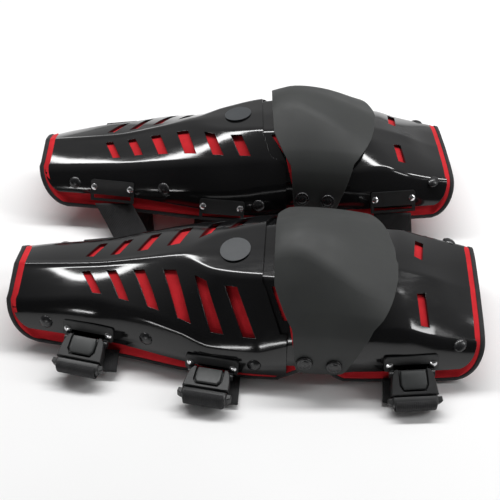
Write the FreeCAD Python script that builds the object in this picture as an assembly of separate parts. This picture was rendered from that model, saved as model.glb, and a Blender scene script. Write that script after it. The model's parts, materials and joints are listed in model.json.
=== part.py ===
import FreeCAD, Part
import math
import os
from FreeCAD import Matrix, Placement, Rotation, Vector

os.makedirs("parts", exist_ok=True)

# A left and a right knee guard, lying side by side, in millimetres.
# Guard frame: +X from the ankle to the thigh, +Z away from the leg, and -Y towards the outer
# side of the leg, where the buckles are. Z = 0 is the lower edge of the foam. The right guard
# is the left one mirrored in Y.

# ---- driving dimensions -------------------------------------------------------------------
SHELL_T = 3.0  # moulded shin and thigh shells
PLATE_T = 2.2  # knee plate, under the knee end of the shin shell
CUP_T = 3.0
FOAM_T = 5.0
FIT = 0.4  # gap between layers
DEEPER_FOAM = (-63.0, -31.0)  # x where the shin foam steps down to make room for the knee plate
EDGE_Z = 8.0  # lower edge of the hard shells above the edge of the foam
THIGH_DEPTH = CUP_T + FIT  # how far the thigh shell lies inside its table's surface, under the cup
BINDING_W = 3.2

KNEE_PIVOT = (54.0, 33.0)  # x, z: the cup turns on the knee plate
THIGH_PIVOT = (81.0, 30.0)  # x, z: the thigh shell turns on the cup
PIVOT_R = 3.0
PIVOT_HEAD_R = 7.5
PIVOT_SHANKS = (6.2, 6.6)  # to the far side of the knee plate and of the thigh shell
PIVOT_PLAY = 0.06  # radial
PIVOT_SEAT_Y = 85.6  # flat seats for the pivot rivets' heads on the cup's ears

STRAP_W = 40.0
STRAP_T = 2.0
SHIN_SEATS = [(-150.0, 24.0), (-31.0, 17.0)]  # x, z of the plates on the side bands
THIGH_SEATS = [(152.0, 26.0)]
SCREW_SPACING = 40.0
STRAP_REACH = {"left": (92, 99, 108), "right": (94, 95, 92)}  # fold's distance inwards, by strap

PLATE_LIFT = 0.4  # gap under the bracket and keeper plates, whose backs are flat
PLATE_THICK = 2.5
PLATE_TOP = 8.0  # edges of those plates, up the band from the screws
PLATE_LOW = -7.0
LUG_OUT = 21.0
LUG_W = 4.5
HINGE_U = -8.0  # the socket's hinge, up the band and out from it
HINGE_N = 6.4
HINGE_R = 1.6
KNUCKLE_R = 3.2
SCREW_R = 1.6
SCREW_HEAD_R = 3.4
SCREW_HEAD_H = 1.3
SCREW_DEPTH = 5.6
RIVET_R = 6.4
RIVET_H = 2.6
RIVET_RIM = 1.0
RIVET_SHANK_R = 2.5
RIVET_LIFT = 1.3  # gap under the rivets' flat heads, on the curved bands
RIVET_DEPTH = 2.8
SHIN_RIVETS = [(-192, 28), (-94, 31), (8, 22)]  # x, z
THIGH_RIVETS = [(196, 42)]
BADGE_X = -14.0
BADGE_R = 14.5
BADGE_T = 0.9

# Where each guard lies: x, y, height of the guard frame over the floor, then yaw and roll.
PLACES = {
    "left": ((1.0, -101.0, 12.0), -3.5, 6.0),
    "right": ((1.0, 99.0, 18.0), 0.0, -5.0),
}
CENTRE = (6.3, 3.65, 0.0)  # puts the middle of the pair's footprint at the origin

# Sections of the shells, one row per station along X:
# x, half width at the lower edge, outer crease (y, z), inner crease (y, z), ridge panel
# (half width, z of its edges), z of its middle.
SHIN = [
    (-246, 47, (34, 34), (34, 36), (4, 51), 52.5),
    (-200, 53, (39, 44), (39, 41), (4, 54), 55.5),
    (-150, 60, (41, 52), (43, 45), (4, 58), 59.5),
    (-106, 68, (52, 53), (50, 52), (5, 67), 68.5),
    (-63, 77, (65, 48), (57, 58), (8, 77), 78.5),
    (-31, 83, (73, 39), (61, 61), (24, 81), 82.5),
    (10, 86, (78, 40), (67, 64), (33, 87), 88.5),
    (40, 86, (77, 50), (71, 64), (36, 89), 90.5),
    (74, 85, (76, 60), (73, 66), (38, 88), 89.5),
]
THIGH = [
    (60, 86, (75, 58), (75, 58), (28, 83), 85),
    (105, 85, (73, 56), (73, 56), (28, 79), 81),
    (141, 83, (70, 52), (70, 52), (24, 69), 71),
    (172, 81, (66, 48), (66, 48), (14, 59), 61),
    (200, 78, (64, 43), (64, 43), (28, 49), 50),
    (230, 73, (60, 38), (60, 38), (30, 42), 43),
]
CUP = [
    (14, 87, (74, 66), (74, 66), (26, 97), 101),
    (30, 87, (74, 70), (74, 70), (18, 107), 110),
    (46, 87, (74, 72), (74, 72), (20, 110), 113),
    (75, 87, (74, 71), (74, 71), (34, 102), 108),
    (110, 87, (74, 67), (74, 67), (51, 87), 96),
    (148, 86, (73, 60), (73, 60), (60, 71), 77),
]
BAND_BULGE = 0.09  # how far the lower side bands swell out, as a share of their height
FLANK_BULGE = 0.03

# Slots in each flank of the shin shell: x at the ridge end, how much further the outer one's
# lower end lies, width along X, and how far down the flank each reaches, outer then inner.
SLOTS = [
    (-157, 14, 8.0, 0.92, 0.84),
    (-132, 16, 9.0, 0.94, 0.80),
    (-105, 18, 10.5, 0.95, 0.83),
    (-75, 17, 12.5, 1.00, 0.86),
    (-45, 18, 11.5, 1.00, 0.90),
    (-16, 19, 11.5, 0.98, 0.95),
]
INNER_SLANT = 10  # the inner slots' lower ends, further along than their ridge ends
SLOT_TOP = 0.13  # where on the flank the slots begin

REACH = 200.0  # long enough to pass right through a guard


# ---- sections and lofts -------------------------------------------------------------------
def lerp(a, b, t):
    return a + (b - a) * t


def station(table, x):
    """A row of the table at any x, between its stations."""
    for a, b in zip(table, table[1:]):
        if x <= b[0] or b is table[-1]:
            t = (x - a[0]) / (b[0] - a[0])
            pairs = [(lerp(p[0], q[0], t), lerp(p[1], q[1], t)) for p, q in zip(a[2:5], b[2:5])]
            return (x, lerp(a[1], b[1], t), *pairs, lerp(a[5], b[5], t))


def corners(row, edge_z):
    """The seven corners of a section, from the outer lower edge over the top to the inner one."""
    _, w, outer, inner, (p, hp), h = row
    return [(-w, edge_z), (-outer[0], outer[1]), (-p, hp), (0, h), (p, hp), (inner[0], inner[1]), (w, edge_z)]


def inset(points, depth):
    """The corners moved inwards by depth, square to the section at each corner."""
    moved = []
    for i, (y, z) in enumerate(points):
        a = points[max(i - 1, 0)]
        b = points[min(i + 1, len(points) - 1)]
        n = []
        for p, q in ((a, (y, z)), ((y, z), b)):
            d = math.hypot(q[0] - p[0], q[1] - p[1])
            if d > 0:
                n.append(((q[1] - p[1]) / d, -(q[0] - p[0]) / d))
        s = (sum(v[0] for v in n), sum(v[1] for v in n))
        length = math.hypot(*s)
        u = (s[0] / length, s[1] / length)
        cosine = u[0] * n[0][0] + u[1] * n[0][1]
        moved.append((y + u[0] * depth / cosine, z + u[1] * depth / cosine))
    return moved


BULGES = (BAND_BULGE, FLANK_BULGE, 0.0, 0.0, FLANK_BULGE, BAND_BULGE)


def side_edge(x, p, q, bulge):
    """A line or, with a bulge, an arc that swells away from the leg."""
    a, b = Vector(x, *p), Vector(x, *q)
    if bulge == 0:
        return Part.makeLine(a, b)
    d = math.hypot(q[0] - p[0], q[1] - p[1])
    out = Vector(0, -(q[1] - p[1]) / d, (q[0] - p[0]) / d)
    return Part.Arc(a, (a + b) * 0.5 + out * bulge * d, b).toShape()


def ring(x, over, under):
    """The closed outline of a C-shaped wall between two rows of corners."""
    edges = [side_edge(x, p, q, s) for p, q, s in zip(over, over[1:], BULGES)]
    edges.append(Part.makeLine(Vector(x, *over[-1]), Vector(x, *under[-1])))
    back = list(zip(under, under[1:], BULGES))[::-1]
    edges += [side_edge(x, p, q, s) for p, q, s in back]
    edges.append(Part.makeLine(Vector(x, *under[0]), Vector(x, *over[0])))
    return Part.Wire(Part.__sortEdges__(edges))


def wall(table, depth, thickness, edge_z):
    """A wall that follows a table's surface, depth inside it."""
    rings = []
    for row in table:
        points = corners(row, edge_z)
        d = depth(row[0]) if callable(depth) else depth
        rings.append(ring(row[0], inset(points, d), inset(points, d + thickness)))
    return Part.makeLoft(rings, True, True)


def side_prism(outline):
    """A prism through the whole width, from a side view. Each entry is (x, z), and one with
    a third number is the middle of an arc."""
    edges = []
    i = 0
    closed = outline + [outline[0]]
    while i < len(closed) - 1:
        a = Vector(closed[i][0], -REACH, closed[i][1])
        if len(closed[i + 1]) == 3:
            m = Vector(closed[i + 1][0], -REACH, closed[i + 1][1])
            b = Vector(closed[i + 2][0], -REACH, closed[i + 2][1])
            edges.append(Part.Arc(a, m, b).toShape())
            i += 2
        else:
            b = Vector(closed[i + 1][0], -REACH, closed[i + 1][1])
            edges.append(Part.makeLine(a, b))
            i += 1
    return Part.Face(Part.Wire(edges)).extrude(Vector(0, 2 * REACH, 0))


def cylinder_y(x, z, radius, y0=-REACH, y1=REACH):
    return Part.makeCylinder(radius, y1 - y0, Vector(x, y0, z), Vector(0, 1, 0))


def box(x, y, z):
    """A box from three (low, high) pairs."""
    return Part.makeBox(x[1] - x[0], y[1] - y[0], z[1] - z[0], Vector(x[0], y[0], z[0]))


# ---- shin ---------------------------------------------------------------------------------
SHELL_SIDE = [
    (-205, 16), (-120, 16), (0, 9), (38, EDGE_Z - 1), (37, 60), (13, 86), (13, 130), (-228, 130),
    (-228, 50), (-223, 26, "arc"),
]


def slot_tool(top_x, low_x, width, side, reach):
    """A slanted prism through one flank, square to it."""
    def on_flank(x, share):
        row = station(SHIN, x)
        crease, ridge = (row[2], row[4]) if side < 0 else (row[3], row[4])
        return Vector(x, side * lerp(ridge[0], crease[0], share), lerp(ridge[1], crease[1], share))

    top, low = on_flank(top_x, SLOT_TOP), on_flank(low_x, reach)
    half = Vector(width / 2, 0, 0)
    through = Vector(1, 0, 0).cross(low - top).normalize() * 14
    quad = [top - half, top + half, low + half, low - half, top - half]
    face = Part.Face(Part.makePolygon([p - through for p in quad]))
    return face.extrude(through * 2)


def shin_shell():
    shell = wall(SHIN, 0, SHELL_T, EDGE_Z).common(side_prism(SHELL_SIDE))
    for top_x, slant, width, outer, inner in SLOTS:
        shell = shell.cut(slot_tool(top_x, top_x + slant, width, -1, outer))
        shell = shell.cut(slot_tool(top_x, top_x + INNER_SLANT, width, 1, inner))
    return shell


def shin_badge():
    """A plain disc that lies on the ridge panel and follows its slope."""
    behind, ahead = station(SHIN, BADGE_X - 10)[5], station(SHIN, BADGE_X + 10)[5]
    slope = math.degrees(math.atan2(ahead - behind, 20))
    badge = Part.makeCylinder(BADGE_R, BADGE_T)
    badge.rotate(Vector(0, 0, 0), Vector(0, 1, 0), -slope)
    badge.translate(Vector(BADGE_X, 0, (behind + ahead) / 2 + 0.4))
    return badge


def under_plate(x):
    """Depth of the shin foam: one shell down, and one plate more near the knee."""
    start, end = DEEPER_FOAM
    deeper = min(max((x - start) / (end - start), 0), 1)
    return SHELL_T + FIT + deeper * (PLATE_T + FIT)


def shin_foam_side(shrink):
    s = shrink
    return [
        (-200 + s, s), (34, s), (54, 18 + s), (KNEE_PIVOT[0] + 12 - s, KNEE_PIVOT[1], "arc"),
        (55, 44 - s), (48 - s, 72), (44 - s, 130), (-236 + s, 130), (-236 + s, 50), (-231 + s, 15 + s, "arc"),
    ]


def shin_foam():
    foam = wall(SHIN, under_plate, FOAM_T, -1)
    inner_part = side_prism(shin_foam_side(BINDING_W))
    liner = foam.common(inner_part)
    binding = foam.common(side_prism(shin_foam_side(0))).cut(inner_part)
    return liner, binding


def knee_plate():
    """It is riveted under the knee end of the shin shell, and the cup turns on its ears."""
    plate = wall([station(SHIN, x) for x in (-8, 10, 40, 74)], SHELL_T + FIT, PLATE_T, EDGE_Z)
    x, z = KNEE_PIVOT
    outline = [
        (-4, 20), (x - 6, 22), (x + 10, z, "arc"), (x, z + 10), (50, 70), (47, 130), (4, 130),
        (4, 76), (16, 62), (14, 44), (-4, 38),
    ]
    plate = plate.common(side_prism(outline))
    plate = plate.cut(cylinder_y(x, z, PIVOT_R + PIVOT_PLAY))
    window = side_prism([(22, 80), (30, 66), (40, 54), (44, 58), (37, 70), (31, 83)])
    return plate.cut(window)


# ---- knee cup -----------------------------------------------------------------------------
def knee_cup():
    outline = [
        (20, 140), (24, 90), (42, 66), (45, 28), (50, 17), (84, 15),
        (94, 27), (126, 66), (142, 76), (144, 140),
    ]
    cup = wall(CUP, 0, CUP_T, EDGE_Z - 4).common(side_prism(outline))
    for x, z in (KNEE_PIVOT, THIGH_PIVOT):
        cup = cup.cut(cylinder_y(x, z, PIVOT_R))
        for side in (-1, 1):
            low, high = sorted((side * PIVOT_SEAT_Y, side * REACH))
            cup = cup.cut(cylinder_y(x, z, PIVOT_HEAD_R + 0.5, low, high))
    return cup


# ---- things that sit on a side band -------------------------------------------------------
def band_point(table, x, z, side):
    """A point on the outside of a lower side band, and the way up the band there."""
    row = station(table, x)
    crease = row[2] if side < 0 else row[3]
    low, high = Vector(x, -row[1], EDGE_Z), Vector(x, -crease[0], crease[1])
    t = (z - EDGE_Z) / (high.z - low.z)
    up = (high - low).normalize()
    swell = BAND_BULGE * 4 * t * (1 - t) * (high - low).Length
    return low + (high - low) * t + Vector(1, 0, 0).cross(up) * swell, up


def seat(table, x, z, side):
    """A placement on the outside of a lower side band: X along the guard, Y up the band and
    Z square to it. It is worked out for the outer side, and the inner one is mirrored later."""
    at, up = band_point(table, x, z, side)
    step = 18
    along = (band_point(table, x + step, z, side)[0] - band_point(table, x - step, z, side)[0]).normalize()
    out = along.cross(up).normalize()
    up = out.cross(along)
    if table is THIGH:
        at = at - out * THIGH_DEPTH
    columns = [(along.x, up.x, out.x, at.x), (along.y, up.y, out.y, at.y), (along.z, up.z, out.z, at.z)]
    return Placement(Matrix(*columns[0], *columns[1], *columns[2], 0, 0, 0, 1))


def put(shape, placement, side):
    shape = shape.copy()
    shape.Placement = placement.multiply(shape.Placement)
    return shape if side < 0 else shape.mirror(Vector(0, 0, 0), Vector(0, 1, 0))


def dome(radius, height, base):
    """A shallow dome along Z with a short rim, its foot at height base."""
    sphere = (radius**2 + height**2) / (2 * height)
    ball = Part.makeSphere(sphere, Vector(0, 0, base + height - sphere))
    cap = ball.common(Part.makeCylinder(radius, height, Vector(0, 0, base)))
    return cap.fuse(Part.makeCylinder(radius, base, Vector(0, 0, 0))).removeSplitter()


def snap_rivet():
    """A domed rivet that holds the foam in a shell. Its shank ends inside the shell."""
    head = dome(RIVET_R, RIVET_H, RIVET_RIM)
    head.translate(Vector(0, 0, RIVET_LIFT))
    shank = Part.makeCylinder(RIVET_SHANK_R, RIVET_DEPTH + RIVET_LIFT, Vector(0, 0, -RIVET_DEPTH))
    return head.fuse(shank).removeSplitter()


def rivet_hole():
    return Part.makeCylinder(RIVET_SHANK_R, 3 * RIVET_DEPTH, Vector(0, 0, -RIVET_DEPTH))


def screw():
    shank = Part.makeCylinder(SCREW_R, SCREW_DEPTH, Vector(0, 0, PLATE_LIFT + PLATE_THICK - SCREW_DEPTH))
    head = dome(SCREW_HEAD_R, SCREW_HEAD_H, 0.5)
    head.translate(Vector(0, 0, PLATE_LIFT + PLATE_THICK))
    return head.fuse(shank).removeSplitter()


def screw_holes(half=SCREW_SPACING / 2):
    holes = [Part.makeCylinder(SCREW_R, 30, Vector(x, 0, -20)) for x in (-half, half)]
    return holes[0].fuse(holes[1])


def rounded_plate(half_x, low, high, thick, radius):
    plate = box((-half_x, half_x), (low, high), (PLATE_LIFT, PLATE_LIFT + thick))
    upright = [e for e in plate.Edges if abs(e.tangentAt(e.FirstParameter).z) > 0.9]
    return plate.makeFillet(radius, upright)


def bracket():
    """A plate with two lugs and the pin that the buckle's socket swings on. Between the lugs
    it is cut away, so that the back of the socket can dip in."""
    shape = rounded_plate(25, PLATE_LOW, PLATE_TOP, PLATE_THICK, 2.5)
    notch = LUG_OUT - LUG_W - 0.1
    shape = shape.cut(box((-notch, notch), (PLATE_LOW - 1, -0.2), (0, 10)))
    for x in (-LUG_OUT, LUG_OUT - LUG_W):
        lug = box((x, x + LUG_W), (PLATE_LOW, PLATE_LOW + 3), (PLATE_LIFT, HINGE_N))
        knuckle = Part.makeCylinder(KNUCKLE_R, LUG_W, Vector(x, HINGE_U, HINGE_N), Vector(1, 0, 0))
        shape = shape.fuse(lug).fuse(knuckle)
    pin = Part.makeCylinder(HINGE_R, 2 * LUG_OUT, Vector(-LUG_OUT, HINGE_U, HINGE_N), Vector(1, 0, 0))
    return shape.fuse(pin).cut(screw_holes()).removeSplitter()


def keeper():
    """A plate with a loop below it, which holds the far end of a strap."""
    shape = rounded_plate(24, PLATE_LOW, PLATE_TOP, PLATE_THICK, 2.5)
    frame = box((-24, 24), (-15, -6), (PLATE_LIFT, PLATE_LIFT + PLATE_THICK))
    slot = box((-STRAP_W / 2 - 0.8, STRAP_W / 2 + 0.8), (-12.4, -8), (-5, 20))
    return shape.fuse(frame).cut(slot).cut(screw_holes()).removeSplitter()


# ---- buckle, along +X across the strap, outwards along -Y, with the hinge on the X axis ----
def socket():
    """The buckle's socket: a cavity for the tongue, and a window for the button. Behind the
    hinge it is narrower, so that it fits between the bracket's lugs."""
    half = LUG_OUT - LUG_W - 0.5
    block = box((-21, 21), (-21, -4.5), (-6, 6))
    block = block.makeFillet(2.0, [e for e in block.Edges if abs(e.tangentAt(e.FirstParameter).z) > 0.9])
    back = box((-half, half), (-5, 3.5), (-1, 6))
    barrel = Part.makeCylinder(KNUCKLE_R, 2 * half, Vector(-half, 0, 0), Vector(1, 0, 0))
    bore = Part.makeCylinder(HINGE_R + PIVOT_PLAY, 60, Vector(-30, 0, 0), Vector(1, 0, 0))
    cavity = box((-14.4, 14.4), (-40, -6), (-3.4, 1.4))
    window = box((-12.3, 12.3), (-17.3, -3.6), (0, 10))
    rebate = box((-12.3, 12.3), (-17.3, 10), (3.6, 10))
    shape = block.fuse(back).fuse(barrel)
    return shape.cut(bore).cut(cavity).cut(window).cut(rebate).removeSplitter()


def button():
    """A cap that reaches back over the hinge, and a body that stands in the socket's window."""
    cap = box((-12, 12), (-17, 1.4), (5.6, 8.0))
    cap = cap.makeFillet(1.0, [e for e in cap.Edges if e.CenterOfMass.z > 7.5])
    return cap.fuse(box((-12, 12), (-17, -3.9), (3.4, 5.8))).removeSplitter()


def tongue():
    """The part that pulls out: a tongue, a wide end with two ears, and the strap's bar."""
    blade = box((-14, 14), (-22, -6.4), (-3.0, 1.0))
    body = box((-21, 21), (-36, -21.4), (-5, 5))
    ears = box((-24.5, 24.5), (-29, -23), (-3.5, 3.5))
    shape = blade.fuse(body).fuse(ears)
    slot = box((-STRAP_W / 2 + 1, STRAP_W / 2 - 1), (-33.5, -29.3), (-10, 10))
    return shape.cut(slot).removeSplitter()


def hinge_point(table, x, z):
    """Where the socket's hinge lies, in the guard frame of the outer side."""
    return seat(table, x, z, -1).multVec(Vector(0, HINGE_U, HINGE_N))


def buckle(shape, table, x, z, tilt):
    pin = seat(table, x, z, -1).Rotation.multVec(Vector(1, 0, 0))
    back = Vector(0, 0, 1).cross(pin).normalize()
    up = pin.cross(back)
    turn = Rotation(pin, back, up, "XZY")
    tilt = Placement(hinge_point(table, x, z), turn.multiply(Rotation(Vector(1, 0, 0), tilt)))
    shape = shape.copy()
    shape.Placement = tilt.multiply(shape.Placement)
    return shape


# ---- straps -------------------------------------------------------------------------------
def ribbon(path, x):
    """A strap of constant thickness along a path in Y and Z, centred on x."""
    half = STRAP_T / 2
    left, right = [], []
    for i, (y, z) in enumerate(path):
        a, b = path[max(i - 1, 0)], path[min(i + 1, len(path) - 1)]
        n = []
        for p, q in ((a, (y, z)), ((y, z), b)):
            d = math.hypot(q[0] - p[0], q[1] - p[1])
            if d:
                n.append((-(q[1] - p[1]) / d, (q[0] - p[0]) / d))
        s = (sum(v[0] for v in n) / len(n), sum(v[1] for v in n) / len(n))
        k = half / (s[0] ** 2 + s[1] ** 2)
        left.append((y + s[0] * k, z + s[1] * k))
        right.append((y - s[0] * k, z - s[1] * k))
    loop = left + right[::-1]
    points = [Vector(x - STRAP_W / 2, y, z) for y, z in loop + loop[:1]]
    return Part.Face(Part.makePolygon(points)).extrude(Vector(STRAP_W, 0, 0))


def strap(table, x, z, place, reach):
    """From beside the socket, flat on the floor under the guard, then folded back up to the
    keeper. It is drawn in the rolled frame, because it lies on the floor."""
    (_, _, height), _, roll = place
    roll = math.radians(abs(roll))

    def rolled(y, z):
        return y * math.cos(roll) - z * math.sin(roll), z * math.cos(roll) + y * math.sin(roll) + height

    hinge = hinge_point(table, x, z)
    start = rolled(hinge.y, hinge.z)[0] + 9
    loop = seat(table, x, z, 1).multVec(Vector(0, -16.4, PLATE_LIFT + PLATE_THICK / 2))
    end = rolled(-loop.y, loop.z)
    floor = STRAP_T / 2
    path = [
        (start, floor), (reach - 4, floor), (reach - 0.8, floor + 1.2), (reach, floor + 3.4),
        (reach - 1.6, floor + 5.4), (end[0] + (reach - end[0]) * 0.45, end[1] * 0.5 + 2), end,
    ]
    return ribbon(path, x)


# ---- thigh --------------------------------------------------------------------------------
THIGH_SIDE = [
    (86, 11), (102, 14), (194, 15), (208, 22, "arc"), (212, 42), (212, 130), (94, 130),
    (92, 76), (74, 36), (THIGH_PIVOT[0] - 10.5, THIGH_PIVOT[1], "arc"),
]


def thigh_shell():
    shell = wall(THIGH, THIGH_DEPTH, SHELL_T, EDGE_Z).common(side_prism(THIGH_SIDE))
    for side in (-1, 1):
        corners_of_slot = [(158, 17), (162, 17), (168, 58), (157, 58)]
        loop = corners_of_slot + corners_of_slot[:1]
        face = Part.Face(Part.makePolygon([Vector(x, side * y, 28) for x, y in loop]))
        shell = shell.cut(face.extrude(Vector(0, 0, 50)))
    shell = shell.cut(cylinder_y(*THIGH_PIVOT, PIVOT_R + PIVOT_PLAY))
    return shell


def thigh_foam_side(shrink):
    s = shrink
    return [
        (91, s), (194 - s, s), (215 - s, 13 + s, "arc"), (220 - s, 40), (220 - s, 130),
        (100 + s, 130), (98 + s, 72), (79 + s, 42), (THIGH_PIVOT[0] - 7 + s, 18, "arc"),
    ]


def thigh_foam():
    foam = wall(THIGH, THIGH_DEPTH + SHELL_T + 2 * FIT, FOAM_T, -1)
    inner_part = side_prism(thigh_foam_side(BINDING_W))
    return foam.common(inner_part), foam.common(side_prism(thigh_foam_side(0))).cut(inner_part)


# ---- one guard ----------------------------------------------------------------------------
BUCKLES = [  # name, host, seat, and how far the socket hangs below the guard's horizontal, degrees
    ("ankle", SHIN, SHIN_SEATS[0], 12.0),
    ("calf", SHIN, SHIN_SEATS[1], -6.0),
    ("thigh", THIGH, THIGH_SEATS[0], 20.0),
]


def pivot_rivets():
    """Four rivets in the cup's ears. The knee plate and the thigh shell turn on them."""
    rivets = []
    for (x, z), shank in ((KNEE_PIVOT, PIVOT_SHANKS[0]), (THIGH_PIVOT, PIVOT_SHANKS[1])):
        head = dome(PIVOT_HEAD_R, 2.6, 1.2)
        pin = Part.makeCylinder(PIVOT_R, shank, Vector(0, 0, -shank))
        rivet = head.fuse(pin).removeSplitter()
        at = Placement(Vector(x, -PIVOT_SEAT_Y, z), Rotation(Vector(1, 0, 0), 90))
        rivets += [put(rivet, at, -1), put(rivet, at, 1)]
    return rivets


def rigid_pieces():
    """Every piece of the outer-side-first guard that both guards share."""
    rigid = {}
    shell, (liner, binding), plate, cup = shin_shell(), shin_foam(), knee_plate(), knee_cup()
    t_shell, (t_liner, t_binding) = thigh_shell(), thigh_foam()

    def fastened(table, spots, hosts, part, hole):
        """Copies of a part at each spot, and the hosts with its holes in them."""
        parts = []
        for x, z, side in spots:
            at = seat(table, x, z, side)
            hosts = [h.cut(put(hole, at, side)) for h in hosts]
            parts.append(put(part, at, side))
        return Part.makeCompound(parts), hosts

    shin_spots = [(x, z, s) for x, z in SHIN_RIVETS for s in (-1, 1)]
    rivets, (shell, plate) = fastened(SHIN, shin_spots, [shell, plate], snap_rivet(), rivet_hole())
    thigh_spots = [(x, z, s) for x, z in THIGH_RIVETS for s in (-1, 1)]
    t_rivets, (t_shell,) = fastened(THIGH, thigh_spots, [t_shell], snap_rivet(), rivet_hole())

    pair = [screw(), screw()]
    for piece, side in zip(pair, (-1, 1)):
        piece.translate(Vector(side * SCREW_SPACING / 2, 0, 0))
    pair = Part.makeCompound(pair)
    shin_seats = [(x, z, s) for x, z in SHIN_SEATS for s in (-1, 1)]
    shin_screws, (shell,) = fastened(SHIN, shin_seats, [shell], pair, screw_holes())
    thigh_seats = [(x, z, s) for x, z in THIGH_SEATS for s in (-1, 1)]
    thigh_screws, (t_shell,) = fastened(THIGH, thigh_seats, [t_shell], pair, screw_holes())

    rigid["shin_shell"], rigid["shin_liner"], rigid["shin_binding"] = shell, liner, binding
    rigid["knee_plate"], rigid["knee_cup"] = plate, cup
    rigid["pivot_rivets"] = Part.makeCompound(pivot_rivets())
    rigid["thigh_shell"], rigid["thigh_liner"], rigid["thigh_binding"] = t_shell, t_liner, t_binding
    rigid["shin_rivets"], rigid["thigh_rivets"] = rivets, t_rivets
    rigid["shin_screws"], rigid["thigh_screws"] = shin_screws, thigh_screws
    rigid["shin_badge"] = shin_badge()
    for table, seats, host, names in (
        (SHIN, SHIN_SEATS, shell, ("shin_brackets", "shin_keepers")),
        (THIGH, THIGH_SEATS, t_shell, ("thigh_bracket", "thigh_keeper")),
    ):
        for node, make, side in zip(names, (bracket, keeper), (-1, 1)):
            rigid[node] = Part.makeCompound(
                [put(make(), seat(table, x, z, side), side).cut(host) for x, z in seats]
            )
    for where, table, at, tilt in BUCKLES:
        for piece, make in (("socket", socket), ("button", button), ("tongue", tongue)):
            rigid[f"{where}_{piece}"] = buckle(make(), table, *at, tilt)
    return rigid


def guard(name, rigid):
    place = PLACES[name]
    flat = {
        f"{where}_strap": strap(table, *at, place, reach)
        for (where, table, at, _), reach in zip(BUCKLES, STRAP_REACH[name])
    }
    (tx, ty, tz), yaw, roll = place
    mirror = name == "right"
    for node, shape in {**rigid, **flat}.items():
        shape = shape.copy()
        if mirror:
            shape = shape.mirror(Vector(0, 0, 0), Vector(0, 1, 0))
        if node in rigid:
            shape.rotate(Vector(0, 0, 0), Vector(1, 0, 0), roll)
            shape.translate(Vector(0, 0, tz))
        shape.rotate(Vector(0, 0, 0), Vector(0, 0, 1), yaw)
        shape.translate(Vector(tx + CENTRE[0], ty + CENTRE[1], CENTRE[2]))
        yield f"{name}_{node}", shape


shared = rigid_pieces()
for name in PLACES:
    for node, shape in guard(name, shared):
        shape.exportStep(f"parts/{node}.step")
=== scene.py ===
import json
import math

import bmesh
import bpy
import numpy as np
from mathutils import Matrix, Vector

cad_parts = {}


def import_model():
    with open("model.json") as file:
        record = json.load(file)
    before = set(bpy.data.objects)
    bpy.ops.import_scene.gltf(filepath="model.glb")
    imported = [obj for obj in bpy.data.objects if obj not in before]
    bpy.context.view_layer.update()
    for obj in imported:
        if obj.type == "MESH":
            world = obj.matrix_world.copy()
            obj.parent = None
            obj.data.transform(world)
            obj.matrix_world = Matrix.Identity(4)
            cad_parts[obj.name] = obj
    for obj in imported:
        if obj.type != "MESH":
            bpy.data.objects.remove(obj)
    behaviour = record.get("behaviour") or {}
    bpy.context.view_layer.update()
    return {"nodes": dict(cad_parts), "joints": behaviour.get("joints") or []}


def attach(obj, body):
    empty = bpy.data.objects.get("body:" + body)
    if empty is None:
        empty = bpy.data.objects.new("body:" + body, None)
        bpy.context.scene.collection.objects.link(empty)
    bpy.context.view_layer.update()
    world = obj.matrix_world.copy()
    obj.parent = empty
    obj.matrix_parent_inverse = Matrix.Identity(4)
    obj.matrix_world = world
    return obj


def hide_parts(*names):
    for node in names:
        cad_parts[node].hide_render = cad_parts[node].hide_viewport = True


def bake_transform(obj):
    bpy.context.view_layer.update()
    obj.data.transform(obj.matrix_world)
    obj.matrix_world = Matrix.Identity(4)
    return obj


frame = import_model()
JOINTS = {joint["name"]: joint for joint in frame["joints"]}

# Guard frame, in millimetres: +X from the ankle to the thigh, -Y to the outer side of the leg,
# +Z away from the leg, Z = 0 at the lower edge of the foam. Everything is shaped in that frame
# and then placed in the row frame, in metres. The right guard is the left one mirrored in Y.
MM = 0.001
SHELL_T = 3.0
PLATE_T = 2.2
CUP_T = 3.0
FOAM_T = 5.6
FIT = 0.4
EDGE_Z = 8.0
KNEE_PIVOT = (54.0, 33.0)
THIGH_PIVOT = (81.0, 30.0)
SHIN_RIVETS = ((-192, 28), (-94, 31), (8, 22))  # x, z
THIGH_RIVETS = ((196, 42),)

# Sections of the shells, one row per station along X:
# x, half width at the lower edge, outer crease (y, z), inner crease (y, z), ridge panel
# (half width, z of its edges), z of its middle.
SHIN = [
    (-246, 47, (34, 34), (34, 36), (4, 51), 52.5),
    (-200, 53, (39, 44), (39, 41), (4, 54), 55.5),
    (-150, 60, (41, 52), (43, 45), (4, 58), 59.5),
    (-106, 68, (52, 53), (50, 52), (5, 67), 68.5),
    (-63, 77, (65, 48), (57, 58), (8, 77), 78.5),
    (-31, 83, (73, 39), (61, 61), (24, 81), 82.5),
    (10, 86, (78, 40), (67, 64), (33, 87), 88.5),
    (40, 86, (77, 50), (71, 64), (36, 89), 90.5),
    (74, 85, (76, 60), (73, 66), (38, 88), 89.5),
]
THIGH = [
    (60, 86, (75, 58), (75, 58), (28, 83), 85),
    (105, 85, (73, 56), (73, 56), (28, 79), 81),
    (141, 83, (66, 58), (66, 58), (24, 69), 71),
    (172, 81, (66, 49), (66, 49), (14, 60), 62),
    (200, 78, (64, 43), (64, 43), (28, 49), 50),
    (230, 73, (60, 38), (60, 38), (30, 42), 43),
]
CUP = [
    (14, 87, (74, 66), (74, 66), (26, 97), 101),
    (30, 87, (74, 70), (74, 70), (18, 107), 110),
    (46, 87, (74, 72), (74, 72), (20, 110), 113),
    (75, 87, (74, 71), (74, 71), (32, 102), 108),
    (110, 87, (74, 67), (74, 67), (42, 86), 94),
    (148, 86, (73, 60), (73, 60), (40, 70), 77),
]
BULGES = (0.09, 0.03, 0.0, 0.0, 0.03, 0.09)  # how far each side of a section swells out

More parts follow.
